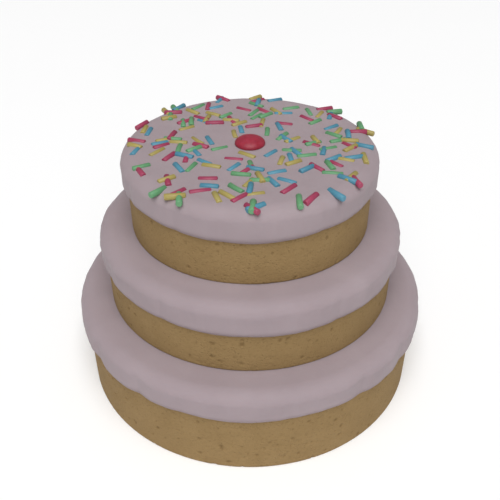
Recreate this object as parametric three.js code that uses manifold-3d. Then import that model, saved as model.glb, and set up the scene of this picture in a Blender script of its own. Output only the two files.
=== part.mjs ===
// A three-tier layer cake: three round sponges, each under a cap of icing that runs down over
// the top of its side, with sugar strands and half a glace cherry on the top cap.
// Millimetres, +Z up. The origin is the centre of the bottom sponge's flat underside.

import * as THREE from 'three';
import { mergeVertices } from 'three/addons/utils/BufferGeometryUtils.js';
import Module from 'manifold-3d';

const wasm = await Module();
wasm.setup();

// Driving dimensions. A tier's radius is its sponge's, its height runs from the sponge's foot
// to the top of the icing, and its skirt is how far the icing reaches down from there. The
// skirt's edge sags by sag at each of its evenly spaced dips, the first of them at the front,
// and rises as far between them.
const TIERS = [
  { name: 'bottom', radius: 100, height: 56.5, skirt: 18.7, dips: 8, sag: 0.5 },
  { name: 'middle', radius: 83.6, height: 43.6, skirt: 18.8, dips: 3, sag: 0.7 },
  { name: 'top', radius: 67.3, height: 43.9, skirt: 18.3, dips: 3, sag: 0.7 },
];
const ICING = {
  overTop: 6, // thickness on top of a sponge
  overSide: 2.6, // thickness outside a sponge's side
  shoulderRun: 8.7, // the rounding from top to side, measured along the radius
  shoulderDrop: 6.4, // and downwards
  lip: 3.4, // height of the rounding at the lower edge
  gap: 0.3, // clearance between a sponge's side and the icing round it
};
const STRAND = {
  count: 156,
  length: 10,
  lengthSpread: 0.08, // how much longer or shorter one may be, as a share
  diameter: 3.3,
  reach: 67, // the furthest from the cake's axis that a strand's middle lies
  sunk: 0.42, // how deep the axes of the first layer lie under the icing's top, in radii
  raised: 0.18, // how much higher each layer lies than the one under it, in radii
  layers: 3,
  closest: 0.8, // how near two in one layer may come, in diameters
  squareness: 0.35, // the least sine of the angle between two that cross
};
const CHERRY = { radius: 8.26, foot: 8.05, waist: 0.5, height: 4.3 };

const SEGMENTS = 72; // round a tier
const SHOULDER_STEPS = 5;
const LIP_STEPS = 3;
const STRAND_SIDES = 8;
const STRAND_SEED = 31337;
const STREAM_FACTOR = 7 ** 5;
const STREAM_LENGTH = 2 ** 31 - 1; // how many numbers come before the stream repeats, plus one
const MEETING_STEPS = 10; // along half a strand, in the search for how near two of them come
const CHERRY_SEGMENTS = 28;
const CHERRY_STEPS = 6;

// The small unevenness of spread icing: waves round a tier as [count, size in mm, phase]. Each
// tier starts them at another turn.
const HEM_WAVES = [[5, 0.16, 2.1], [11, 0.14, 4.0], [17, 0.1, 1.3]];
const SIDE_WAVES = [[2, 0.18, 1.0], [5, 0.16, 3.3], [9, 0.1, 5.2]];
const TURN_PER_TIER = 2.2;
const NEARLY = 0.01; // mm, for telling which part of the icing a point belongs to

const matte = (color, roughness) => new THREE.MeshStandardMaterial({ color, roughness, metalness: 0 });
const SPONGE = matte('#967c55', 0.9);
const WHITE_ICING = matte('#a8999d', 0.6);
const CANDIED = matte('#9c3a49', 0.25);

const { clamp } = THREE.MathUtils;

function waves(list, angle, turn) {
  const heights = list.map(([count, size, phase]) => size * Math.sin(count * angle + phase + turn));
  return heights.reduce((sum, height) => sum + height, 0);
}

// Points of a quarter-arc, from angle 0 to a right angle.
function quarter(steps, pointAt) {
  return Array.from({ length: steps + 1 }, (_, i) => pointAt(((i / steps) * Math.PI) / 2));
}

// A solid of revolution about Z, from a profile of [radius, height] pairs that starts and ends
// on the axis. warp, if given, moves each ring's points by their angle round the axis.
function turned(profile, segments, warp = null) {
  const outline = profile.map(([r, z]) => new THREE.Vector2(r, z));
  const geometry = new THREE.LatheGeometry(outline, segments);
  geometry.rotateX(Math.PI / 2);
  const place = geometry.getAttribute('position');
  for (let i = 0; warp && i < place.count; i++) {
    const x = place.getX(i);
    const y = place.getY(i);
    const r = Math.hypot(x, y);
    if (r < NEARLY) continue;
    const moved = warp(r, place.getZ(i), Math.atan2(y, x));
    place.setXYZ(i, (x / r) * moved.r, (y / r) * moved.r, moved.z);
  }
  return geometry;
}

// The heights and radii that a tier's sponge and icing share.
function shapeOf(tier, index, foot) {
  const top = foot + tier.height;
  const outer = tier.radius + ICING.overSide;
  return {
    ...tier,
    foot,
    top,
    outer,
    turn: index * TURN_PER_TIER,
    bore: tier.radius + ICING.gap,
    spongeTop: top - ICING.overTop,
    flat: outer - ICING.shoulderRun,
    shoulder: top - ICING.shoulderDrop,
    hem: top - tier.skirt,
  };
}

function spongeGeometry({ radius, foot, spongeTop }) {
  return turned([[0, foot], [radius, foot], [radius, spongeTop], [0, spongeTop]], SEGMENTS);
}

// How far the icing's lower edge stands above its mean height. The front is towards -Y.
function hemRise(s, angle) {
  return waves(HEM_WAVES, angle, s.turn) - s.sag * Math.cos(s.dips * (angle + Math.PI / 2));
}

// The icing cap: hollow underneath for the sponge, then a rolled lower lip, a plain side, a
// round shoulder and a flat top. Its lower edge and side wander a little.
function icingGeometry(s) {
  const run = s.outer - s.bore;
  const profile = [
    [0, s.spongeTop],
    [s.bore, s.spongeTop],
    ...quarter(LIP_STEPS, (a) => [s.bore + run * Math.sin(a), s.hem + ICING.lip * (1 - Math.cos(a))]),
    ...quarter(SHOULDER_STEPS, (a) => [
      s.flat + ICING.shoulderRun * Math.cos(a),
      s.shoulder + ICING.shoulderDrop * Math.sin(a),
    ]),
    [0, s.top],
  ];
  return turned(profile, SEGMENTS, (r, z, angle) => {
    const ceiling = r < s.bore + NEARLY && z > s.spongeTop - NEARLY;
    if (ceiling || z > s.shoulder + NEARLY) return { r, z };
    const outside = clamp((r - s.bore) / run, 0, 1);
    const lowness = clamp((s.shoulder - z) / (s.shoulder - s.hem), 0, 1);
    return {
      r: r + outside * Math.sin(Math.PI * lowness) * waves(SIDE_WAVES, angle, s.turn),
      z: z + lowness * hemRise(s, angle),
    };
  });
}

// Half a glace cherry, cut side down: a low dome that is widest just above its foot.
function cherryGeometry(foot) {
  const { radius, waist, height } = CHERRY;
  const tuck = Math.acos(CHERRY.foot / radius);
  const below = [1, 0.5].map((share) => [
    radius * Math.cos(tuck * share),
    foot + waist * (1 - Math.sin(tuck * share) / Math.sin(tuck)),
  ]);
  const above = quarter(CHERRY_STEPS, (a) => [
    radius * Math.cos(a),
    foot + waist + (height - waist) * Math.sin(a),
  ]);
  above.pop();
  return turned([[0, foot], ...below, ...above, [0, foot + height]], CHERRY_SEGMENTS);
}

// A repeatable stream of numbers from 0 to 1. Each is the last one times a fixed factor, with
// only the remainder kept.
function numbers(seed) {
  let state = seed;
  return () => {
    state = (state * STREAM_FACTOR) % STREAM_LENGTH;
    return state / STREAM_LENGTH;
  };
}

// How near two strands' axes come, as seen from above.
function distanceBetween(a, b) {
  let nearest = Infinity;
  for (let i = -MEETING_STEPS; i <= MEETING_STEPS; i++) {
    const along = (a.half * i) / MEETING_STEPS;
    const x = a.x + a.ux * along - b.x;
    const y = a.y + a.uy * along - b.y;
    const alongOther = clamp(x * b.ux + y * b.uy, -b.half, b.half);
    nearest = Math.min(nearest, Math.hypot(x - b.ux * alongOther, y - b.uy * alongOther));
  }
  return nearest;
}

// Strands fall at random on the top. One that crosses others lies a layer above the highest of
// them. One that would lie along another or on the cherry, or too high, falls away.
function fallenStrands() {
  const draw = numbers(STRAND_SEED);
  const cherry = { x: 0, y: 0, ux: 1, uy: 0, half: NEARLY };
  const clearOfCherry = CHERRY.radius + STRAND.diameter / 2 + ICING.gap;
  const laid = [];
  while (laid.length < STRAND.count) {
    const away = STRAND.reach * Math.sqrt(draw());
    const bearing = 2 * Math.PI * draw();
    const heading = 2 * Math.PI * draw();
    const half = (STRAND.length / 2) * (1 + STRAND.lengthSpread * (2 * draw() - 1));
    const strand = {
      x: away * Math.cos(bearing),
      y: away * Math.sin(bearing),
      ux: Math.cos(heading),
      uy: Math.sin(heading),
      heading,
      half,
    };
    if (distanceBetween(strand, cherry) < clearOfCherry) continue;
    const near = laid.filter((other) => distanceBetween(strand, other) < STRAND.closest * STRAND.diameter);
    const crosses = (other) => Math.abs(strand.ux * other.uy - strand.uy * other.ux) > STRAND.squareness;
    strand.layer = near.reduce((highest, other) => Math.max(highest, other.layer), -1) + 1;
    if (strand.layer < STRAND.layers && near.every(crosses)) laid.push(strand);
  }
  return laid;
}

// A strand lies level, part sunk in the icing. Near the rim its end sticks out over the shoulder.
function strandGeometry({ x, y, heading, half, layer }, s) {
  const radius = STRAND.diameter / 2;
  const geometry = new THREE.CylinderGeometry(radius, radius, 2 * half, STRAND_SIDES);
  geometry.rotateZ(heading - Math.PI / 2);
  return geometry.translate(x, y, s.top + (layer * STRAND.raised - STRAND.sunk) * radius);
}

function toSolid(geometry) {
  const bare = new THREE.BufferGeometry();
  bare.setIndex(geometry.index).setAttribute('position', geometry.getAttribute('position'));
  const merged = mergeVertices(bare);
  return new wasm.Manifold(new wasm.Mesh({
    numProp: 3,
    vertProperties: new Float32Array(merged.attributes.position.array),
    triVerts: new Uint32Array(merged.index.array),
  }));
}

function toGeometry(solid) {
  const { vertProperties, triVerts } = solid.getMesh();
  const geometry = new THREE.BufferGeometry();
  geometry.setAttribute('position', new THREE.BufferAttribute(vertProperties, 3));
  geometry.setIndex(new THREE.BufferAttribute(triVerts, 1));
  geometry.computeVertexNormals();
  return geometry;
}

// The top cap with its strands stuck fast: one solid. Of the fused shells only the outer one is
// kept, which fills any hollow that crossing strands seal between them.
function strewnGeometry(s) {
  const cap = toSolid(icingGeometry(s));
  const strands = fallenStrands().map((strand) => toSolid(strandGeometry(strand, s)));
  const fused = strands.reduce((whole, strand) => whole.add(strand), cap);
  const shells = fused.decompose().sort((a, b) => b.volume() - a.volume());
  return toGeometry(shells[0]);
}

function piece(name, geometry, material) {
  const mesh = new THREE.Mesh(geometry, material);
  mesh.name = name;
  return mesh;
}

const cake = new THREE.Group();
let foot = 0;
TIERS.forEach((tier, index) => {
  const s = shapeOf(tier, index, foot);
  const strewn = index === TIERS.length - 1;
  cake.add(piece(`sponge_${s.name}`, spongeGeometry(s), SPONGE));
  cake.add(piece(`icing_${s.name}`, strewn ? strewnGeometry(s) : icingGeometry(s), WHITE_ICING));
  foot = s.top;
});
cake.add(piece('cherry', cherryGeometry(foot), CANDIED));

export default cake;
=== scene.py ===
# %% [markdown]
# # A three-tier layer cake
# Three round sponges stand on one another. Each wears a cap of pale icing that runs down over
# the top of its side. The smallest tier also carries coloured sugar strands and half a glace
# cherry. The solid model already fixes every size and place. This lesson gives its pieces the
# surface of real food, one piece and one finish at a time.

# %% Load the solid model
import math

import bpy
import numpy as np
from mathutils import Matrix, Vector


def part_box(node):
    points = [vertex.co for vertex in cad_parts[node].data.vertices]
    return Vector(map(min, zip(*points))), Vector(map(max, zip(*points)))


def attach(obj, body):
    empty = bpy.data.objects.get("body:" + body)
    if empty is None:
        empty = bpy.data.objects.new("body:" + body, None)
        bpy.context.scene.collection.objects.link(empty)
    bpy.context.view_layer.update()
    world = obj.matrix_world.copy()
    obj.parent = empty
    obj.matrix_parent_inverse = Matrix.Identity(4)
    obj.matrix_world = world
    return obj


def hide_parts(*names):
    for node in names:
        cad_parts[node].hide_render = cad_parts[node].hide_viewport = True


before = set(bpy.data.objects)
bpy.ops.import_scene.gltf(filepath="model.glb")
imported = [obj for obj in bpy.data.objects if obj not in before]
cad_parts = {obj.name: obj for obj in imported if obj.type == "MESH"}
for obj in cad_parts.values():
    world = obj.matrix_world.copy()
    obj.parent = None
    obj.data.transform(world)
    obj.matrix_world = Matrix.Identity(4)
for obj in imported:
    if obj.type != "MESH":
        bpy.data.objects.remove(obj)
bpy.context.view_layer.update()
print("solid pieces:", ", ".join(sorted(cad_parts)))

# %% [markdown]
# ## The sizes
# A cake is measured in millimetres, and Blender in metres, so MM turns one into the other.
# What the solid model can tell is read from it: a sponge's radius and height, and the top of
# its icing, which is where the next thing up stands. What it can't tell, such as how far the
# icing runs down, is named here with the values that the solids were made with.

# %% Sizes of the tiers
MM = 0.001
STANDS_ON_ICING = {"bottom": "sponge_middle", "middle": "sponge_top", "top": "cherry"}
SKIRTS = {"bottom": 18.7 * MM, "middle": 18.8 * MM, "top": 18.3 * MM}
DIPS = {"bottom": 8, "middle": 3, "top": 3}
SAGS = {"bottom": 0.5 * MM, "middle": 0.7 * MM, "top": 0.7 * MM}
TURN_PER_TIER = 2.2


def tier_sizes(index, name):
    low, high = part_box(f"sponge_{name}")
    icing_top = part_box(STANDS_ON_ICING[name])[0].z
    return {
        "radius": high.x,
        "foot": low.z,
        "sponge_top": high.z,
        "icing_top": icing_top,
        "hem": icing_top - SKIRTS[name],
        "dips": DIPS[name],
        "sag": SAGS[name],
        "turn": index * TURN_PER_TIER,
    }


tiers = {name: tier_sizes(index, name) for index, name in enumerate(STANDS_ON_ICING)}
for name, tier in tiers.items():
    print(f"{name}: sponge {tier['radius'] / MM:.1f} mm radius, icing top at {tier['icing_top'] / MM:.1f} mm")

# %% [markdown]
# ## Turning a shape
# A sponge, a cap of icing and a cherry are all round, as if turned on a wheel. Blender's Spin
# tool or a Screw modifier would turn an outline too. Here the rings are laid out as arrays of
# numbers, because then the same outline can be warped a little at each angle, the seam and the
# poles are closed from the start, and every face points outwards. The outline starts on the
# axis, runs round the outside, and ends on the axis.

# %% A turned mesh
def steps(start, end, spacing):
    """Evenly spaced numbers from start to end, at most spacing apart, both ends included."""
    return np.linspace(start, end, max(2, math.ceil(abs(end - start) / spacing) + 1))


def arc(pieces):
    """The angles of a quarter turn in that many pieces."""
    return np.linspace(0, math.pi / 2, pieces + 1)


def turned(name, outline, segments, warp=None):
    """A closed round piece, from an outline of radii and heights. warp may move its points."""
    rings = np.array(outline[1:-1])
    turns = np.linspace(0, 2 * math.pi, segments, endpoint=False)
    radius, angle = np.meshgrid(rings[:, 0], turns, indexing="ij")
    height = np.repeat(rings[:, 1:], segments, axis=1)
    if warp:
        radius, height = warp(radius, height, angle)
    points = np.stack([radius * np.cos(angle), radius * np.sin(angle), height], axis=-1).reshape(-1, 3)
    poles = [(0, 0, outline[0][1]), (0, 0, outline[-1][1])]
    near = np.arange(len(rings) * segments).reshape(len(rings), segments)
    beside = np.roll(near, -1, axis=1)
    bands = np.stack([near[:-1], beside[:-1], beside[1:], near[1:]], axis=-1).reshape(-1, 4)
    first, last = near.size, near.size + 1
    fans = [(first, b, a) for a, b in zip(near[0], beside[0])]
    fans += [(last, a, b) for a, b in zip(near[-1], beside[-1])]
    mesh = bpy.data.meshes.new(name)
    mesh.from_pydata([*points.tolist(), *poles], [], [*bands.tolist(), *fans])
    mesh.shade_smooth()
    piece = bpy.data.objects.new(name, mesh)
    bpy.context.scene.collection.objects.link(piece)
    return piece


# %% [markdown]
# ## Building node trees in a script
# Geometry Nodes and materials are both trees of nodes. One short helper adds a node, fills its
# inputs with numbers or links, and returns it. Four more do the arithmetic on numbers and
# vectors. The last one starts a tree with named inputs, so that its sizes can be set from
# outside.

# %% Node helpers
def node(tree, kind, inputs=None, **settings):
    made = tree.nodes.new(kind)
    for key, value in settings.items():
        setattr(made, key, value)
    for key, value in (inputs or {}).items():
        if isinstance(value, bpy.types.NodeSocket):
            tree.links.new(value, made.inputs[key])
        else:
            made.inputs[key].default_value = value
    return made


def maths(tree, operation, *values):
    return node(tree, "ShaderNodeMath", dict(enumerate(values)), operation=operation).outputs[0]


def vectors(tree, operation, *values):
    return node(tree, "ShaderNodeVectorMath", dict(enumerate(values)), operation=operation).outputs[0]


def scaled(tree, vector, factor):
    return node(tree, "ShaderNodeVectorMath", {0: vector, "Scale": factor}, operation="SCALE").outputs[0]


def parts(tree, vector):
    """The three numbers that make up a vector."""
    return node(tree, "ShaderNodeSeparateXYZ", {0: vector}).outputs


def new_tree(name, kind, inputs, outputs):
    tree = bpy.data.node_groups.new(name, kind)
    for label, socket_type, default in inputs:
        socket = tree.interface.new_socket(label, in_out="INPUT", socket_type=socket_type)
        if default is not None:
            socket.default_value = default
    for label, socket_type in outputs:
        tree.interface.new_socket(label, in_out="OUTPUT", socket_type=socket_type)
    return tree, tree.nodes.new("NodeGroupInput").outputs, tree.nodes.new("NodeGroupOutput").inputs


# %% [markdown]
# A tree is run on a piece as a modifier. Its inputs are set by each socket's identifier before
# the piece is first evaluated. Then the result is kept as a plain mesh and the modifier goes,
# so that the export and the renderer see the same thing.

# %% Run a Geometry Nodes tree
def finish_tree(tree, geometry, output, material):
    real = node(tree, "GeometryNodeRealizeInstances", {0: geometry}).outputs[0]
    dressed = node(tree, "GeometryNodeSetMaterial", {"Geometry": real, "Material": material}).outputs[0]
    tree.links.new(dressed, output)


def grow(piece, tree, values):
    modifier = piece.modifiers.new(tree.name, "NODES")
    modifier.node_group = tree
    for item in tree.interface.items_tree:
        if item.in_out == "INPUT" and item.name in values:
            modifier[item.identifier] = values[item.name]
    graph = bpy.context.evaluated_depsgraph_get()
    mesh = bpy.data.meshes.new_from_object(
        piece.evaluated_get(graph), preserve_all_data_layers=True, depsgraph=graph)
    piece.modifiers.clear()
    piece.data = mesh
    mesh.name = piece.name
    mesh.calc_loop_triangles()
    print(f"{piece.name}: {len(mesh.loop_triangles)} triangles")


# %% [markdown]
# ## Effects that several finishes share
# No food is one flat colour. Patches of slightly different tone come from a noise texture, and
# crumb, sugar and skin all have fine relief. Each effect is a shader node group with named
# inputs, built once and placed in every material with its own values. Both read the piece's
# Object coordinates, so the pattern is fixed to the cake in metres.

# %% Shader groups
def noise(tree, place, size, detail=2.0):
    """A noise texture whose patches are about size across."""
    per_metre = maths(tree, "DIVIDE", 1.0, size)
    values = {"Vector": place, "Scale": per_metre, "Detail": detail}
    return node(tree, "ShaderNodeTexNoise", values)


def make_mottle():
    tree, given, result = new_tree(
        "mottle", "ShaderNodeTree",
        [("Patch Size", "NodeSocketFloat", 0.01), ("Contrast", "NodeSocketFloat", 2.0)],
        [("Tone", "NodeSocketFloat")])
    place = node(tree, "ShaderNodeTexCoord").outputs["Object"]
    patches = noise(tree, place, given["Patch Size"], detail=3.0).outputs[0]
    centred = maths(tree, "SUBTRACT", patches, 0.5)
    stretched = maths(tree, "MULTIPLY_ADD", centred, given["Contrast"], 0.5)
    tree.links.new(node(tree, "ShaderNodeClamp", {0: stretched}).outputs[0], result["Tone"])
    return tree


def make_fine_relief():
    tree, given, result = new_tree(
        "fine relief", "ShaderNodeTree",
        [("Grain Size", "NodeSocketFloat", 0.001), ("Pit Spacing", "NodeSocketFloat", 0.003),
         ("Pit Radius", "NodeSocketFloat", 0.1), ("Pit Depth", "NodeSocketFloat", 1.0)],
        [("Height", "NodeSocketFloat"), ("Pits", "NodeSocketFloat")])
    place = node(tree, "ShaderNodeTexCoord").outputs["Object"]
    grain = noise(tree, place, given["Grain Size"]).outputs[0]
    per_metre = maths(tree, "DIVIDE", 1.0, given["Pit Spacing"])
    cells = node(tree, "ShaderNodeTexVoronoi", {"Vector": place, "Scale": per_metre}).outputs["Distance"]
    depth = maths(tree, "SUBTRACT", 1.0, maths(tree, "DIVIDE", cells, given["Pit Radius"]))
    pits = node(tree, "ShaderNodeClamp", {0: depth}).outputs[0]
    hollow = maths(tree, "MULTIPLY", pits, given["Pit Depth"])
    tree.links.new(pits, result["Pits"])
    tree.links.new(maths(tree, "SUBTRACT", grain, hollow), result["Height"])
    return tree


MOTTLE = make_mottle()
FINE_RELIEF = make_fine_relief()

# %% Material helpers
def srgb(red, green, blue):
    """A colour given as a screen shows it, 0 to 255, as the linear colour that Blender mixes."""
    shown = np.array([red, green, blue]) / 255
    linear = np.where(shown <= 0.04045, shown / 12.92, ((shown + 0.055) / 1.055) ** 2.4)
    return (*linear.tolist(), 1.0)


def new_material(name, **constants):
    """A material with its constant values set on the shader's own sockets."""
    material = bpy.data.materials.new(name)
    material.use_nodes = True
    shader = material.node_tree.nodes["Principled BSDF"]
    for label, value in constants.items():
        shader.inputs[label.replace("_", " ")].default_value = value
    return material.node_tree, shader.inputs, material


def placed(tree, group, **inputs):
    values = {label.replace("_", " "): value for label, value in inputs.items()}
    return node(tree, "ShaderNodeGroup", values, node_tree=group).outputs


def mixed(tree, factor, low, high):
    made = node(tree, "ShaderNodeMix", {"Factor": factor}, data_type="RGBA")
    for socket, value in zip([s for s in made.inputs if s.type == "RGBA"], (low, high)):
        if isinstance(value, bpy.types.NodeSocket):
            tree.links.new(value, socket)
        else:
            socket.default_value = value
    return next(s for s in made.outputs if s.type == "RGBA")


def ranged(tree, value, low, high):
    """The value, from 0 to 1, stretched to run from low to high."""
    return node(tree, "ShaderNodeMapRange", {"Value": value, "To Min": low, "To Max": high}).outputs[0]


def bumped(tree, shader, height, depth):
    made = node(tree, "ShaderNodeBump", {"Height": height, "Distance": depth})
    tree.links.new(made.outputs[0], shader["Normal"])


# %% [markdown]
# ## The sponge's finish
# The side of a sponge that was baked in a tin is dry and matt, golden brown, and a little
# uneven in colour. Its open pores and fine pits are painted darker, as painted shade in the
# hollows. Where the pores are comes as an attribute that the shape's own tree writes, so colour
# and relief agree. Grain finer than the mesh is bump.

# %% Sponge material
CRUMB_PALE = srgb(154, 128, 88)
CRUMB_BROWN = srgb(135, 110, 72)
# The brown that pores and pits are painted towards, as painted shade in the hollows.
SHADED_PORE_BROWN = srgb(107, 83, 51)
PORE_SHADE = 0.6
PIT_SHADE = 0.3


def make_sponge_material():
    tree, shader, material = new_material("sponge", Specular_IOR_Level=0.2)
    broad = placed(tree, MOTTLE, Patch_Size=14 * MM, Contrast=1.6)["Tone"]
    close = placed(tree, MOTTLE, Patch_Size=1.6 * MM, Contrast=1.8)["Tone"]
    tone = maths(tree, "MULTIPLY_ADD", close, 0.5, maths(tree, "MULTIPLY", broad, 0.5))
    crumb = mixed(tree, tone, CRUMB_BROWN, CRUMB_PALE)
    pore = node(tree, "ShaderNodeAttribute", attribute_name="pore").outputs["Fac"]
    relief = placed(
        tree, FINE_RELIEF, Grain_Size=0.7 * MM, Pit_Spacing=1.5 * MM, Pit_Radius=0.32, Pit_Depth=0.8)
    # Painted shade: pores and pits are darkened towards the shaded brown.
    in_pores = maths(tree, "MULTIPLY", pore, PORE_SHADE)
    in_pits = maths(tree, "MULTIPLY", relief["Pits"], PIT_SHADE)
    shade = maths(tree, "MAXIMUM", in_pores, in_pits)
    tree.links.new(mixed(tree, shade, crumb, SHADED_PORE_BROWN), shader["Base Color"])
    tree.links.new(ranged(tree, close, 0.8, 0.98), shader["Roughness"])
    bumped(tree, shader, relief["Height"], 0.35 * MM)
    return material


SPONGE = make_sponge_material()

# %% [markdown]
# ## The sponges
# A sponge is a low cylinder with slightly rounded edges, and open pores of several sizes in
# its side. Sculpting the pores by hand would take hours, and a bump map alone leaves a side
# that is too smooth where it meets the light at a slant. So the blank is turned, and a
# Geometry Nodes tree presses pores into it: a texture of irregular cells chooses where a pore
# is and how large. The push is only ever inwards and level, so the sponge keeps its radius, its
# foot and its top.

# %% The tree that bakes a crumb
PORE_GROWTH = 0.62
PORE_RIM = {"From Min": -0.06, "From Max": 0.14}
SMALL_PORE_DEPTH = 0.6
CRUMB_WANDER = 2.4 * MM
SWELL_LENGTH = 22 * MM


def pores(tree, place, spacing, share):
    """A mask that is 1 in the middle of each pore. share is the part of the cells that have one."""
    per_metre = maths(tree, "DIVIDE", 1.0, spacing)
    cells = node(tree, "ShaderNodeTexVoronoi", {"Vector": place, "Scale": per_metre})
    chance = parts(tree, cells.outputs["Color"])[0]
    above = maths(tree, "ADD", chance, maths(tree, "SUBTRACT", share, 1.0))
    size = maths(tree, "MULTIPLY", above, PORE_GROWTH)
    inside = maths(tree, "SUBTRACT", size, cells.outputs["Distance"])
    return node(tree, "ShaderNodeMapRange", {"Value": inside, **PORE_RIM},
                interpolation_type="SMOOTHSTEP").outputs[0]


def keep(tree, geometry, name, value):
    """Writes a value on every point as a named attribute that materials can read."""
    values = {"Geometry": geometry, "Name": name, "Value": value}
    return node(tree, "GeometryNodeStoreNamedAttribute", values, data_type="FLOAT", domain="POINT").outputs[0]


def make_crumb_tree():
    tree, given, result = new_tree(
        "baked crumb", "GeometryNodeTree",
        [("Geometry", "NodeSocketGeometry", None), ("Large Pores", "NodeSocketFloat", 3.8 * MM),
         ("Small Pores", "NodeSocketFloat", 2.1 * MM), ("Share", "NodeSocketFloat", 0.55),
         ("Pore Depth", "NodeSocketFloat", 0.5 * MM), ("Swell", "NodeSocketFloat", 0.25 * MM),
         ("Material", "NodeSocketMaterial", None)],
        [("Geometry", "NodeSocketGeometry")])
    place = node(tree, "GeometryNodeInputPosition").outputs[0]
    wander = vectors(tree, "SUBTRACT", noise(tree, place, CRUMB_WANDER).outputs["Color"], (0.5, 0.5, 0.5))
    bent = vectors(tree, "ADD", place, scaled(tree, wander, CRUMB_WANDER))
    large = pores(tree, bent, given["Large Pores"], given["Share"])
    small = pores(tree, bent, given["Small Pores"], given["Share"])
    pore = maths(tree, "MAXIMUM", large, maths(tree, "MULTIPLY", small, SMALL_PORE_DEPTH))
    swell = maths(tree, "MULTIPLY", noise(tree, place, SWELL_LENGTH).outputs[0], given["Swell"])
    push = maths(tree, "MULTIPLY_ADD", pore, given["Pore Depth"], swell)
    outwards = vectors(tree, "MULTIPLY", node(tree, "GeometryNodeInputNormal").outputs[0], (1.0, 1.0, 0.0))
    shaped = node(tree, "GeometryNodeSetPosition", {
        "Geometry": given["Geometry"],
        "Offset": scaled(tree, outwards, maths(tree, "MULTIPLY", push, -1.0)),
    }).outputs[0]
    finish_tree(tree, keep(tree, shaped, "pore", pore), result["Geometry"], given["Material"])
    return tree


CRUMB_TREE = make_crumb_tree()

# %% Bake the three sponges
EDGE_ROUNDING = 0.9 * MM
FOOT_EDGE_STEPS = 3
TOP_EDGE_STEPS = 2
CRUMB_SPACING = 0.72 * MM
HIDDEN_SPACING = 4 * MM
UNDER_THE_HEM = 3 * MM


def sponge_outline(tier):
    inner = tier["radius"] - EDGE_ROUNDING
    low, high = tier["foot"] + EDGE_ROUNDING, tier["sponge_top"] - EDGE_ROUNDING
    seen = tier["hem"] + UNDER_THE_HEM
    under = [(r, tier["foot"]) for r in steps(0, inner, HIDDEN_SPACING)]
    foot_edge = [(inner + EDGE_ROUNDING * math.sin(a), low - EDGE_ROUNDING * math.cos(a))
                 for a in arc(FOOT_EDGE_STEPS)[1:]]
    side = [(tier["radius"], z) for z in steps(low, seen, CRUMB_SPACING)[1:]]
    covered = [(tier["radius"], z) for z in steps(seen, high, HIDDEN_SPACING)[1:]]
    top_edge = [(inner + EDGE_ROUNDING * math.cos(a), high + EDGE_ROUNDING * math.sin(a))
                for a in arc(TOP_EDGE_STEPS)[1:]]
    over = [(r, tier["sponge_top"]) for r in steps(inner, 0, HIDDEN_SPACING)[1:]]
    return under + foot_edge + side + covered + top_edge + over


for name, tier in tiers.items():
    around = round(2 * math.pi * tier["radius"] / CRUMB_SPACING)
    sponge = turned(f"{name}_sponge", sponge_outline(tier), around)
    grow(sponge, CRUMB_TREE, {"Material": SPONGE})
    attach(sponge, "root")
    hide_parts(f"sponge_{name}")

# %% [markdown]
# ## The icing's finish
# The icing is a thick, smooth, off-white coat with a faint pink cast and a satin shine. Light
# goes a little way into it, which softens its edges, so the shader has some subsurface
# scattering. Its tone and its shine hardly vary, but they do vary. Towards the lower edge the
# colour is painted deeper, as painted shade at the rolled lip, and an attribute says where
# that is. Tiny burst bubbles and fine sugar grain are bump, because they are far smaller than
# anything that the outline shows.

# %% Icing material
ICING_PALE = srgb(159, 145, 149)
ICING_DEEP = srgb(153, 139, 143)
# The deeper colour towards the hem is painted shade, standing in for the shadow at the rolled lip.
ICING_HEM_SHADE = srgb(132, 117, 119)


def make_icing_material():
    tree, shader, material = new_material(
        "icing", Subsurface_Weight=0.2, Subsurface_Radius=(1.0, 0.75, 0.7), Subsurface_Scale=3 * MM,
        Specular_IOR_Level=0.15)
    broad = placed(tree, MOTTLE, Patch_Size=24 * MM, Contrast=2.0)["Tone"]
    close = placed(tree, MOTTLE, Patch_Size=5 * MM, Contrast=1.6)["Tone"]
    # Painted shade: near the hem the colour is mixed towards a deeper tone.
    hem_shade = node(tree, "ShaderNodeAttribute", attribute_name="hem_shade").outputs["Fac"]
    spread = mixed(tree, broad, ICING_DEEP, ICING_PALE)
    tree.links.new(mixed(tree, hem_shade, spread, ICING_HEM_SHADE), shader["Base Color"])
    tree.links.new(ranged(tree, close, 0.52, 0.66), shader["Roughness"])
    relief = placed(
        tree, FINE_RELIEF, Grain_Size=2.2 * MM, Pit_Spacing=7 * MM, Pit_Radius=0.05, Pit_Depth=1.2)
    bumped(tree, shader, relief["Height"], 0.09 * MM)
    return material


ICING = make_icing_material()

# %% [markdown]
# ## The icing caps
# Icing is spread with a long knife while the cake turns. It is left with a level top, a soft
# shoulder, a nearly upright side, and a rolled lower edge that wanders up and down a little.
# The faint lines that the knife leaves run round the cake, and a shallow crease stays where one
# stroke met the next. The cap is turned from its outline, warped by a few slow waves, as the
# solid is, and creased at the places where the photo shows it. One tree adds what is finer:
# soft hills, flutes down the side, and lines that follow the turning. The same tree later
# wrinkles the cherry. The back can't be seen, so its creases mirror the front's.

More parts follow.
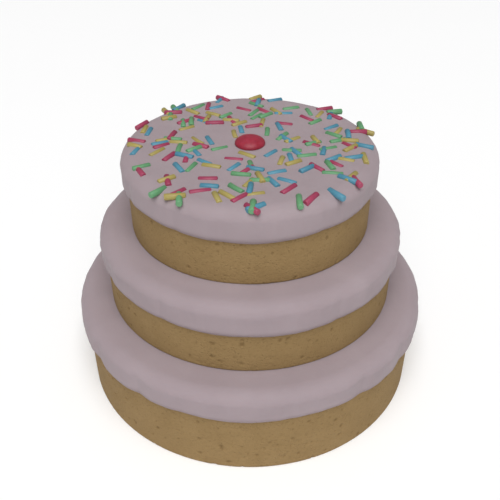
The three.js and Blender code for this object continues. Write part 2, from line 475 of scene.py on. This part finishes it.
# %% The outline of a cap
OVER_SIDE = 2.6 * MM
SHOULDER_RUN = 8.7 * MM
SHOULDER_DROP = 6.4 * MM
LIP = 3.4 * MM
BITE = 0.5 * MM
LIP_STEPS = 8
SHOULDER_STEPS = 14
SMOOTH_SPACING = 0.95 * MM
TOP_SPACING = 1.6 * SMOOTH_SPACING
HEM_WAVES = [(5, 0.16 * MM, 2.1), (11, 0.14 * MM, 4.0), (17, 0.1 * MM, 1.3)]
SIDE_WAVES = [(2, 0.18 * MM, 1.0), (5, 0.16 * MM, 3.3), (9, 0.1 * MM, 5.2)]
CREASES = {"bottom": (35.4, 55.0), "middle": (31.5, 61.0), "top": (31.5, 61.0)}
CREASE_DEPTHS = {"bottom": 1.1 * MM, "middle": 0.6 * MM, "top": 0.45 * MM}
CREASE_WIDTH = 2.7
CREASE_LIFT = 0.5
# How far up from the hem the painted shade reaches.
HEM_SHADE_FADE = 4.5 * MM


def waves(sizes, angle, turn):
    return sum(size * np.sin(count * angle + phase + turn) for count, size, phase in sizes)


def cap_outline(tier):
    bore, outer = tier["radius"] - BITE, tier["radius"] + OVER_SIDE
    flat, shoulder = outer - SHOULDER_RUN, tier["icing_top"] - SHOULDER_DROP
    run = outer - bore
    ceiling = [(r, tier["sponge_top"] - BITE) for r in steps(0, bore, HIDDEN_SPACING)]
    inside = [(bore, z) for z in steps(tier["sponge_top"] - BITE, tier["hem"], HIDDEN_SPACING)[1:]]
    lip = [(bore + run * math.sin(a), tier["hem"] + LIP * (1 - math.cos(a))) for a in arc(LIP_STEPS)[1:]]
    side = [(outer, z) for z in steps(tier["hem"] + LIP, shoulder, SMOOTH_SPACING)[1:]]
    round_over = [(flat + SHOULDER_RUN * math.cos(a), shoulder + SHOULDER_DROP * math.sin(a))
                  for a in arc(SHOULDER_STEPS)[1:]]
    top = [(r, tier["icing_top"]) for r in steps(flat, 0, TOP_SPACING)[1:]]
    return ceiling + inside + lip + side + round_over + top


def creases(places, angle):
    """How far into a crease each angle lies, from 0 to 1. Places are in degrees from the front."""
    from_front = np.abs(np.degrees(angle + math.pi / 2 + math.pi) % 360 - 180)
    folded = np.minimum(from_front, 180 - from_front)
    return sum(np.exp(-((folded - place) / CREASE_WIDTH) ** 2) for place in places)


def cap_warp(name, tier):
    bore, outer = tier["radius"] - BITE, tier["radius"] + OVER_SIDE
    shoulder = tier["icing_top"] - SHOULDER_DROP

    def warp(radius, height, angle):
        fold = CREASE_DEPTHS[name] * creases(CREASES[name], angle)
        ceiling = (radius < bore + BITE / 2) & (height > tier["sponge_top"] - 2 * BITE)
        lowness = np.clip((shoulder - height) / (shoulder - tier["hem"]), 0, 1) * ~ceiling
        outside = np.clip((radius - bore) / (outer - bore), 0, 1)
        dips = -tier["sag"] * np.cos(tier["dips"] * (angle + math.pi / 2))
        rise = waves(HEM_WAVES, angle, tier["turn"]) + dips + CREASE_LIFT * fold
        bulge = outside * np.sin(math.pi * lowness) * waves(SIDE_WAVES, angle, tier["turn"])
        below_top = np.clip((tier["icing_top"] - height) / SHOULDER_DROP, 0, 1)
        return radius + bulge - outside * below_top * fold, height + lowness * rise

    return warp


def mark_hem_shade(cap, outline, tier, around):
    """Writes how near the hem each point is, as a named attribute, for the painted shade there."""
    nearness = [max(0.0, 1 - (z - tier["hem"]) / HEM_SHADE_FADE) for _, z in outline[1:-1]]
    values = np.append(np.repeat(nearness, around), (0, 0)).astype(np.float32)
    cap.data.attributes.new("hem_shade", "FLOAT", "POINT").data.foreach_set("value", values)


# %% [markdown]
# The knife's lines come from a noise that changes slowly round the cake and quickly across the
# lines. How far across a point lies is its distance from the axis plus its height, because the
# first changes on the top and the second on the side. The flutes come from a noise that is
# drawn out downwards, and fade where the surface is level.

# %% The tree that makes a surface uneven
LINE_WANDER = 1.5
LINES_DOWN_SIDE = 1.3
FLUTE_STRETCH = 0.2


def swing(tree, value):
    """A noise from 0 to 1, made to swing from -1 to 1."""
    return maths(tree, "MULTIPLY", maths(tree, "SUBTRACT", value, 0.5), 2.0)


def make_uneven_tree():
    tree, given, result = new_tree(
        "soft unevenness", "GeometryNodeTree",
        [("Geometry", "NodeSocketGeometry", None), ("Hill Height", "NodeSocketFloat", 0.1 * MM),
         ("Hill Length", "NodeSocketFloat", 20 * MM), ("Line Height", "NodeSocketFloat", 0.0),
         ("Line Spacing", "NodeSocketFloat", 2 * MM), ("Flute Height", "NodeSocketFloat", 0.0),
         ("Flute Width", "NodeSocketFloat", 10 * MM), ("Material", "NodeSocketMaterial", None)],
        [("Geometry", "NodeSocketGeometry")])
    place = node(tree, "GeometryNodeInputPosition").outputs[0]
    normal = node(tree, "GeometryNodeInputNormal").outputs[0]
    hills = swing(tree, noise(tree, place, given["Hill Length"]).outputs[0])
    level = vectors(tree, "MULTIPLY", place, (1.0, 1.0, 0.0))
    away = node(tree, "ShaderNodeVectorMath", {0: level}, operation="LENGTH").outputs["Value"]
    ring = scaled(tree, vectors(tree, "NORMALIZE", level), LINE_WANDER)
    path = maths(tree, "ADD", away, maths(tree, "MULTIPLY", parts(tree, place)[2], LINES_DOWN_SIDE))
    across = maths(tree, "DIVIDE", path, given["Line Spacing"])
    streaks = node(tree, "ShaderNodeTexNoise", {"Vector": ring, "W": across, "Scale": 1.0, "Detail": 1.0},
                   noise_dimensions="4D").outputs[0]
    drawn_down = vectors(tree, "MULTIPLY", place, (1.0, 1.0, FLUTE_STRETCH))
    flutes = swing(tree, noise(tree, drawn_down, given["Flute Width"]).outputs[0])
    steepness = maths(tree, "SUBTRACT", 1.0, maths(tree, "ABSOLUTE", parts(tree, normal)[2]))
    height = maths(tree, "MULTIPLY", hills, given["Hill Height"])
    height = maths(tree, "MULTIPLY_ADD", swing(tree, streaks), given["Line Height"], height)
    height = maths(
        tree, "MULTIPLY_ADD", maths(tree, "MULTIPLY", flutes, steepness), given["Flute Height"], height)
    shaped = node(tree, "GeometryNodeSetPosition", {
        "Geometry": given["Geometry"],
        "Offset": scaled(tree, normal, height),
    }).outputs[0]
    finish_tree(tree, shaped, result["Geometry"], given["Material"])
    return tree


UNEVEN_TREE = make_uneven_tree()

# %% Spread the three caps
SPREADING = {
    "Hill Height": 0.35 * MM,
    "Hill Length": 16 * MM,
    "Line Height": 0.09 * MM,
    "Line Spacing": 2.2 * MM,
    "Flute Height": 0.8 * MM,
    "Flute Width": 9 * MM,
}

for name, tier in tiers.items():
    around = round(2 * math.pi * tier["radius"] / SMOOTH_SPACING)
    outline = cap_outline(tier)
    cap = turned(f"{name}_icing", outline, around, cap_warp(name, tier))
    # Mark where the painted shade at the hem goes.
    mark_hem_shade(cap, outline, tier, around)
    grow(cap, UNEVEN_TREE, {**SPREADING, "Material": ICING})
    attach(cap, "root")
    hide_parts(f"icing_{name}")

# %% [markdown]
# ## The strands' finish
# Sugar strands are pressed from coloured sugar paste and dried. They are matt to satin, and no
# two are quite the same tone. Their tree writes a tone on each strand, and the material mixes
# a deeper and a paler shade of its colour by it. A thin coat gives the polish of the glaze.

# %% Strand materials
STRAND_COLOURS = {
    "red": (srgb(146, 52, 82), srgb(159, 61, 90)),
    "green": (srgb(88, 141, 98), srgb(99, 153, 109)),
    "blue": (srgb(70, 127, 149), srgb(80, 139, 161)),
    "yellow": (srgb(153, 139, 77), srgb(165, 151, 87)),
}
OWN_TONE = 0.65


def make_strand_material(colour, deep, pale):
    tree, shader, material = new_material(
        f"strand_{colour}", Subsurface_Weight=0.08, Subsurface_Scale=1.5 * MM, Specular_IOR_Level=0.4,
        Coat_Weight=0.08, Coat_Roughness=0.4)
    tone = node(tree, "ShaderNodeAttribute", attribute_name="tone").outputs["Fac"]
    patches = placed(tree, MOTTLE, Patch_Size=1.2 * MM, Contrast=1.5)["Tone"]
    both = maths(tree, "MULTIPLY_ADD", patches, 1 - OWN_TONE, maths(tree, "MULTIPLY", tone, OWN_TONE))
    tree.links.new(mixed(tree, both, deep, pale), shader["Base Color"])
    tree.links.new(ranged(tree, patches, 0.42, 0.58), shader["Roughness"])
    relief = placed(
        tree, FINE_RELIEF, Grain_Size=0.5 * MM, Pit_Spacing=1.4 * MM, Pit_Radius=0.12, Pit_Depth=0.6)
    bumped(tree, shader, relief["Height"], 0.08 * MM)
    return material


strand_materials = {
    colour: make_strand_material(colour, deep, pale) for colour, (deep, pale) in STRAND_COLOURS.items()}

# %% [markdown]
# ## How the strands fall
# The solid model already has its strands, fused to the top cap, and these have to lie where
# those do. So the same rule runs again with the same seed. Strands fall at random on the top.
# One that crosses others lies a layer above them. One that would lie along another or on the
# cherry, or too high, falls away. Lengths in this rule are in millimetres, as in the solid's
# source. The colours are as common as one another, and strands that cross differ in colour,
# so that a small heap of them doesn't melt into one patch.

# %% The falling rule
STRAND_SEED = 31337
STREAM_FACTOR = 7 ** 5
STREAM_LENGTH = 2 ** 31 - 1
STRAND_COUNT = 156
STRAND_LENGTH = 10
LENGTH_SPREAD = 0.08
STRAND_RADIUS = 1.65
STRAND_REACH = 67
LAYERS = 3
CLOSEST = 0.8
SQUARENESS = 0.35
STRAND_GAP = 0.3
CLEAR_OF_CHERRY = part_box("cherry")[1].x / MM + STRAND_RADIUS + STRAND_GAP
MEETING_STEPS = 10
NEARLY = 0.01


def numbers(seed):
    """A repeatable stream of numbers from 0 to 1, each worked out from the last."""
    while True:
        seed = seed * STREAM_FACTOR % STREAM_LENGTH
        yield seed / STREAM_LENGTH


def distance_between(one, other):
    """How near two strands' axes come, as seen from above."""
    nearest = math.inf
    for step in range(-MEETING_STEPS, MEETING_STEPS + 1):
        along = one["half"] * step / MEETING_STEPS
        x = one["x"] + one["ux"] * along - other["x"]
        y = one["y"] + one["uy"] * along - other["y"]
        on_other = min(other["half"], max(-other["half"], x * other["ux"] + y * other["uy"]))
        nearest = min(nearest, math.hypot(x - other["ux"] * on_other, y - other["uy"] * on_other))
    return nearest


def crosses(one, other):
    return abs(one["ux"] * other["uy"] - one["uy"] * other["ux"]) > SQUARENESS


def fallen_strands():
    draw = numbers(STRAND_SEED)
    cherry = {"x": 0, "y": 0, "ux": 1, "uy": 0, "half": NEARLY}
    laid = []
    while len(laid) < STRAND_COUNT:
        away = STRAND_REACH * math.sqrt(next(draw))
        bearing, heading = 2 * math.pi * next(draw), 2 * math.pi * next(draw)
        half = STRAND_LENGTH / 2 * (1 + LENGTH_SPREAD * (2 * next(draw) - 1))
        strand = {"x": away * math.cos(bearing), "y": away * math.sin(bearing),
                  "ux": math.cos(heading), "uy": math.sin(heading), "half": half}
        if distance_between(strand, cherry) < CLEAR_OF_CHERRY:
            continue
        near = [other for other in laid if distance_between(strand, other) < CLOSEST * 2 * STRAND_RADIUS]
        strand["layer"] = 1 + max([other["layer"] for other in near], default=-1)
        if strand["layer"] < LAYERS and all(crosses(strand, other) for other in near):
            strand["near"] = near
            laid.append(strand)
    return laid


def colour_strands(strands):
    """Each takes the colour least used so far that none of those under it has."""
    used = dict.fromkeys(STRAND_COLOURS, 0)
    for strand in strands:
        under = {other["colour"] for other in strand["near"]}
        free = [colour for colour in used if colour not in under] or list(used)
        strand["colour"] = min(free, key=used.get)
        used[strand["colour"]] += 1
    return used


strands = fallen_strands()
print("strands in each layer:", [sum(s["layer"] == layer for s in strands) for layer in range(LAYERS)])
print("strands of each colour:", colour_strands(strands))

# %% [markdown]
# Each strand is pressed level into the icing. The lowest layer is sunk past its axis, and each
# layer above lies a little higher. A hand does this less evenly than a rule, so every strand
# also gets a slight tilt and a slightly different depth.

# %% Where each strand lies
SUNK = 0.42
RAISED = 0.18
TILT_SPREAD = 0.035
DEPTH_SPREAD = 0.06


def lie(strand, draw):
    """The middle and the direction of a strand, in metres."""
    depth = SUNK - RAISED * strand["layer"] + DEPTH_SPREAD * draw.uniform(-1, 1)
    height = tiers["top"]["icing_top"] - depth * STRAND_RADIUS * MM
    tilt = TILT_SPREAD * draw.uniform(-1, 1)
    middle = Vector((strand["x"] * MM, strand["y"] * MM, height))
    return middle, Vector((strand["ux"], strand["uy"], tilt)).normalized()


# %% [markdown]
# ## Strewing the strands
# Well over a hundred small rods are alike but for their place, so this is work for Geometry
# Nodes. One rod is made in the tree, with few faces and a small bevel at each broken end. It
# is set on a cloud of points, one point for each strand, which carries its direction, size,
# bow and tone as attributes. Then the instances are made real, bowed, and given a slightly
# lumpy surface. Each colour is a piece of its own.

# %% The tree that strews strands
ROD_SIDES = 10
ROD_STRETCHES = 4
HALF_WAY = 2 / ROD_STRETCHES
BEVEL_START = 0.93
BEVEL_NARROWING = 0.5
END_FACING = 0.9


def make_rod(tree, radius, length):
    """A rod whose rings half way to its ends are pushed out to where the bevels start."""
    rod = node(tree, "GeometryNodeMeshCylinder", {
        "Vertices": ROD_SIDES,
        "Side Segments": ROD_STRETCHES,
        "Radius": radius,
        "Depth": length,
    }, fill_type="NGON").outputs[0]
    axes = parts(tree, node(tree, "GeometryNodeInputPosition").outputs[0])
    half = maths(tree, "DIVIDE", length, 2.0)
    along = maths(tree, "DIVIDE", axes[2], half)
    share = maths(tree, "ABSOLUTE", along)
    pushed = maths(tree, "MINIMUM", 1.0, maths(tree, "MULTIPLY", share, BEVEL_START / HALF_WAY))
    height = maths(tree, "MULTIPLY", maths(tree, "MULTIPLY", maths(tree, "SIGN", along), pushed), half)
    beyond = maths(tree, "MAXIMUM", 0.0, maths(tree, "SUBTRACT", share, HALF_WAY))
    narrow = maths(tree, "SUBTRACT", 1.0, maths(tree, "MULTIPLY", beyond, BEVEL_NARROWING))
    x, y = (maths(tree, "MULTIPLY", axis, narrow) for axis in axes[:2])
    moved = node(tree, "ShaderNodeCombineXYZ", {0: x, 1: y, 2: height}).outputs[0]
    shaped = node(tree, "GeometryNodeSetPosition", {"Geometry": rod, "Position": moved}).outputs[0]
    facing = maths(tree, "ABSOLUTE", parts(tree, node(tree, "GeometryNodeInputNormal").outputs[0])[2])
    is_side = maths(tree, "LESS_THAN", facing, END_FACING)
    smooth = node(tree, "GeometryNodeSetShadeSmooth", {
        "Geometry": shaped,
        "Shade Smooth": is_side,
    }).outputs[0]
    return keep(tree, smooth, "along", along)


def named(tree, name, data_type):
    made = node(tree, "GeometryNodeInputNamedAttribute", {"Name": name}, data_type=data_type)
    return next(s for s in made.outputs if s.enabled)


LUMP_LENGTH = 2.2 * MM


def make_strand_tree():
    tree, given, result = new_tree(
        "strewn strands", "GeometryNodeTree",
        [("Geometry", "NodeSocketGeometry", None), ("Strand Radius", "NodeSocketFloat", STRAND_RADIUS * MM),
         ("Strand Length", "NodeSocketFloat", STRAND_LENGTH * MM), ("Lumps", "NodeSocketFloat", 0.05 * MM),
         ("Material", "NodeSocketMaterial", None)],
        [("Geometry", "NodeSocketGeometry")])
    rod = make_rod(tree, given["Strand Radius"], given["Strand Length"])
    points = node(tree, "GeometryNodeMeshToPoints", {"Mesh": given["Geometry"]}).outputs[0]
    direction = named(tree, "direction", "FLOAT_VECTOR")
    turn = node(tree, "FunctionNodeAlignRotationToVector", {"Vector": direction}, axis="Z").outputs[0]
    strewn = node(tree, "GeometryNodeInstanceOnPoints", {
        "Points": points,
        "Instance": rod,
        "Rotation": turn,
        "Scale": named(tree, "size", "FLOAT_VECTOR"),
    }).outputs[0]
    real = node(tree, "GeometryNodeRealizeInstances", {0: strewn}).outputs[0]
    along = named(tree, "along", "FLOAT")
    hump = maths(tree, "SUBTRACT", 1.0, maths(tree, "MULTIPLY", along, along))
    bowed = scaled(tree, named(tree, "bow", "FLOAT_VECTOR"), hump)
    place = node(tree, "GeometryNodeInputPosition").outputs[0]
    lumps = maths(tree, "MULTIPLY", swing(tree, noise(tree, place, LUMP_LENGTH).outputs[0]), given["Lumps"])
    lumpy = scaled(tree, node(tree, "GeometryNodeInputNormal").outputs[0], lumps)
    shaped = node(tree, "GeometryNodeSetPosition", {
        "Geometry": real,
        "Offset": vectors(tree, "ADD", bowed, lumpy),
    }).outputs[0]
    finish_tree(tree, shaped, result["Geometry"], given["Material"])
    return tree


STRAND_TREE = make_strand_tree()

# %% Strew each colour
VARIATION_SEED = 5
THICKNESS = 0.98
THICKNESS_SPREAD = 0.05
LARGEST_BOW = 0.22 * MM


def point_cloud(name, members, draw):
    """One point for each strand, with what the tree needs to know about it."""
    poses = [lie(strand, draw) for strand in members]
    mesh = bpy.data.meshes.new(name)
    mesh.from_pydata([middle for middle, _ in poses], [], [])
    level = [direction.cross(Vector((0, 0, 1))).normalized() for _, direction in poses]
    thick = [THICKNESS + THICKNESS_SPREAD * draw.uniform(-1, 1) for _ in members]
    values = {
        "direction": [direction for _, direction in poses],
        "size": [(t, t, 2 * strand["half"] / STRAND_LENGTH) for t, strand in zip(thick, members)],
        "bow": [side * LARGEST_BOW * draw.uniform(-1, 1) for side in level],
    }
    for label, rows in values.items():
        flat = np.array([tuple(row) for row in rows], dtype=np.float32).ravel()
        mesh.attributes.new(label, "FLOAT_VECTOR", "POINT").data.foreach_set("vector", flat)
    tones = draw.uniform(0, 1, len(members)).astype(np.float32)
    mesh.attributes.new("tone", "FLOAT", "POINT").data.foreach_set("value", tones)
    cloud = bpy.data.objects.new(name, mesh)
    bpy.context.scene.collection.objects.link(cloud)
    return cloud


draw = np.random.default_rng(VARIATION_SEED)
for colour, material in strand_materials.items():
    members = [strand for strand in strands if strand["colour"] == colour]
    piece = point_cloud(f"strands_{colour}", members, draw)
    grow(piece, STRAND_TREE, {"Material": material})
    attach(piece, "root")
    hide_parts("icing_top")

# %% [markdown]
# ## The cherry
# Half a glace cherry lies cut side down in the middle. Its skin is soaked in syrup: deep red,
# see-through at its surface, a little wrinkled, and shiny. The dome is turned from the solid's
# outline, and the unevenness tree wrinkles it. The shader lets red light pass under the skin
# and adds a clear coat for the syrup.

# %% Cherry material
CHERRY_DEEP = srgb(138, 32, 50)
CHERRY_BRIGHT = srgb(158, 48, 66)


def make_cherry_material():
    tree, shader, material = new_material(
        "cherry", Subsurface_Weight=0.3, Subsurface_Radius=(1.0, 0.25, 0.2), Subsurface_Scale=2 * MM,
        Specular_IOR_Level=0.3, Coat_Weight=0.08, Coat_Roughness=0.3)
    tone = placed(tree, MOTTLE, Patch_Size=3 * MM, Contrast=2.2)["Tone"]
    tree.links.new(mixed(tree, tone, CHERRY_DEEP, CHERRY_BRIGHT), shader["Base Color"])
    tree.links.new(ranged(tree, tone, 0.42, 0.55), shader["Roughness"])
    relief = placed(
        tree, FINE_RELIEF, Grain_Size=1.1 * MM, Pit_Spacing=2.5 * MM, Pit_Radius=0.1, Pit_Depth=0.3)
    bumped(tree, shader, relief["Height"], 0.12 * MM)
    return material


CHERRY = make_cherry_material()

# %% Turn the cherry
CHERRY_FOOT_SHARE = 8.05 / 8.26
CHERRY_WAIST = 0.5 * MM
CHERRY_AROUND = 128
CHERRY_SPACING = 1 * MM
TUCK_STEPS = 7
DOME_STEPS = 28


def cherry_outline():
    low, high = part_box("cherry")
    radius, height = high.x, high.z - low.z
    tuck = math.acos(CHERRY_FOOT_SHARE)
    widest = low.z + CHERRY_WAIST
    under = [(r, low.z) for r in steps(0, radius * CHERRY_FOOT_SHARE, CHERRY_SPACING)]
    below = [(radius * math.cos(a), low.z + CHERRY_WAIST * (1 - math.sin(a) / math.sin(tuck)))
             for a in tuck * np.linspace(1, 0, TUCK_STEPS + 1)[1:]]
    dome = [(radius * math.cos(a), widest + (height - CHERRY_WAIST) * math.sin(a))
            for a in arc(DOME_STEPS)[1:]]
    return under + below + dome[:-1] + [(0, high.z)]


cherry = turned("glace_cherry", cherry_outline(), CHERRY_AROUND)
grow(cherry, UNEVEN_TREE, {"Hill Height": 0.14 * MM, "Hill Length": 4 * MM, "Material": CHERRY})
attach(cherry, "root")
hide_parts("cherry")

# %% [markdown]
# ## Floor
# The cake stands on a plain white floor. It fills the picture from the photo's angle, and in
# lower views it reaches nearly to the horizon.

# %% Floor
FLOOR_WIDTH = 30.0
FLOOR_TONES = (srgb(248, 248, 248), srgb(250, 250, 250))


def make_floor():
    half = FLOOR_WIDTH / 2
    corners = [(-half, -half, 0), (half, -half, 0), (half, half, 0), (-half, half, 0)]
    mesh = bpy.data.meshes.new("floor")
    mesh.from_pydata(corners, [], [(0, 1, 2, 3)])
    floor = bpy.data.objects.new("floor", mesh)
    bpy.context.scene.collection.objects.link(floor)
    tree, shader, material = new_material("floor", Roughness=0.9, Specular_IOR_Level=0.0)
    tone = placed(tree, MOTTLE, Patch_Size=0.3, Contrast=1.0)["Tone"]
    tree.links.new(mixed(tree, tone, *FLOOR_TONES), shader["Base Color"])
    mesh.materials.append(material)
    return floor


make_floor()

# %% [markdown]
# ## Light
# The light is that of a white studio: soft, and from nearly all round, so that no shadow has
# a hard edge. A sky alone would leave the ledges of the cake too dark, because each tier hides
# half the sky from the ledge below it. So two wide lamps help it. One hangs high and a little
# in front, where no tier hides it from the ledges. One stands lower in front, and lights the
# shoulders and the sides that face the viewer. A lamp's power is worked out from how bright
# it should make a white surface that faces it. The sky gives little light, but where it is
# seen directly it is as white as the floor, so that no grey band shows above the floor.

# %% Light
SKY_BRIGHTNESS = 0.24
LAMPS = {
    "lamp_above": {"elevation": 70, "distance": 14.0, "width": 9.0, "brightness": 0.76},
    "lamp_in_front": {"elevation": 40, "distance": 14.0, "width": 11.0, "brightness": 0.38},
}

world = bpy.data.worlds.new("studio")
world.use_nodes = True
sky = world.node_tree.nodes["Background"].inputs
sky["Color"].default_value = (1.0, 1.0, 1.0, 1.0)
seen = node(world.node_tree, "ShaderNodeLightPath").outputs["Is Camera Ray"]
world.node_tree.links.new(ranged(world.node_tree, seen, SKY_BRIGHTNESS, 1.0), sky["Strength"])
bpy.context.scene.world = world


def hang_lamp(name, elevation, distance, width, brightness):
    data = bpy.data.lights.new(name, "AREA")
    data.size = width
    data.energy = brightness * (math.pi * distance) ** 2
    lamp = bpy.data.objects.new(name, data)
    towards_lamp = Vector((0, -math.cos(math.radians(elevation)), math.sin(math.radians(elevation))))
    lamp.location = towards_lamp * distance
    lamp.rotation_euler = (-towards_lamp).to_track_quat("-Z", "Y").to_euler()
    bpy.context.scene.collection.objects.link(lamp)
    print(f"{name}: {data.energy:.1f} watts")


for name, sizes in LAMPS.items():
    hang_lamp(name, **sizes)
bpy.context.scene.view_settings.view_transform = "Standard"

# %% [markdown]
# ## Camera
# The camera stands straight in front and looks down at about thirty-five degrees. It is set by
# where it looks, how far away it is, and its angle of view, which were worked out from how the
# round edges of the tiers flatten into ellipses.

# %% Camera
LOOK_AT = Vector((0, 0, 73.92 * MM))
CAMERA_DISTANCE = 394.41 * MM
CAMERA_ELEVATION = math.radians(35.118)
PICTURE_WIDTH = 500
FOCAL_LENGTH = 655.7
SENSOR_WIDTH = 36.0

camera_data = bpy.data.cameras.new("camera")
camera_data.sensor_width = SENSOR_WIDTH
camera_data.lens = SENSOR_WIDTH * FOCAL_LENGTH / PICTURE_WIDTH
camera = bpy.data.objects.new("camera", camera_data)
back = Vector((0, -math.cos(CAMERA_ELEVATION), math.sin(CAMERA_ELEVATION)))
camera.location = LOOK_AT + back * CAMERA_DISTANCE
camera.rotation_euler = (-back).to_track_quat("-Z", "Y").to_euler()
bpy.context.scene.collection.objects.link(camera)
bpy.context.scene.camera = camera
